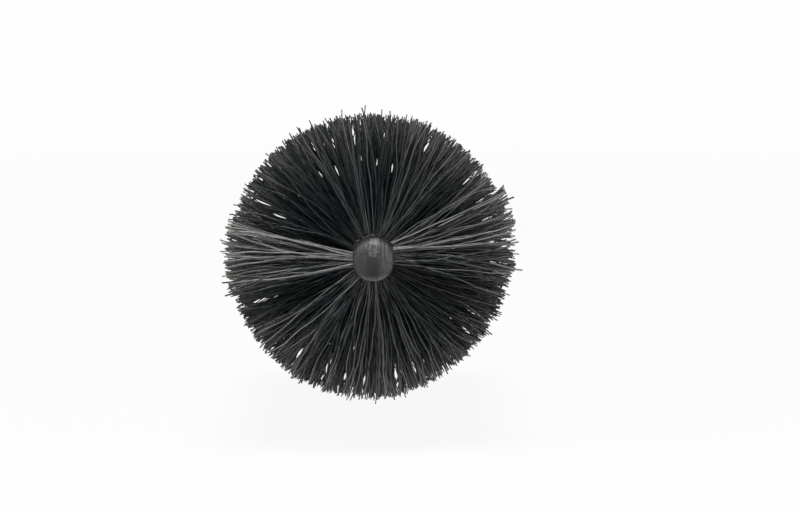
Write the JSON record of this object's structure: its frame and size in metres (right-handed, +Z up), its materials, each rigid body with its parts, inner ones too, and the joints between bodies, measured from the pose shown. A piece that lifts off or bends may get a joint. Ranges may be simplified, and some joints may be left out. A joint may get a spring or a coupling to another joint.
{
  "type": "wire tube brush",
  "caption": "Tube brush with a spiral of black bristles on a twisted steel wire stem, a moulded tip cap and a black handle with a hanging eye.",
  "frame": {"origin": "on the surface that the brush lies on, below the centre of its bounding box", "axes": "+Y from the bristle tip to the handle's end, +Z up, +X to the right seen from the tip"},
  "size_m": [0.0668, 0.3286, 0.0768],
  "materials": {
    "bristle_nylon": "satin black monofilament",
    "cap_plastic": "satin black moulding with faint marks",
    "wire_steel": "drawn galvanised wire",
    "handle_plastic": "fine moulded grain"
  },
  "bodies": {
    "root": {"tip_cap": "cap_plastic", "stem_wire_upper": "wire_steel", "stem_wire_lower": "wire_steel", "front_bristles": "bristle_nylon", "front_middle_bristles": "bristle_nylon", "rear_middle_bristles": "bristle_nylon", "rear_bristles": "bristle_nylon", "handle": "handle_plastic"}
  },
  "joints": []
}
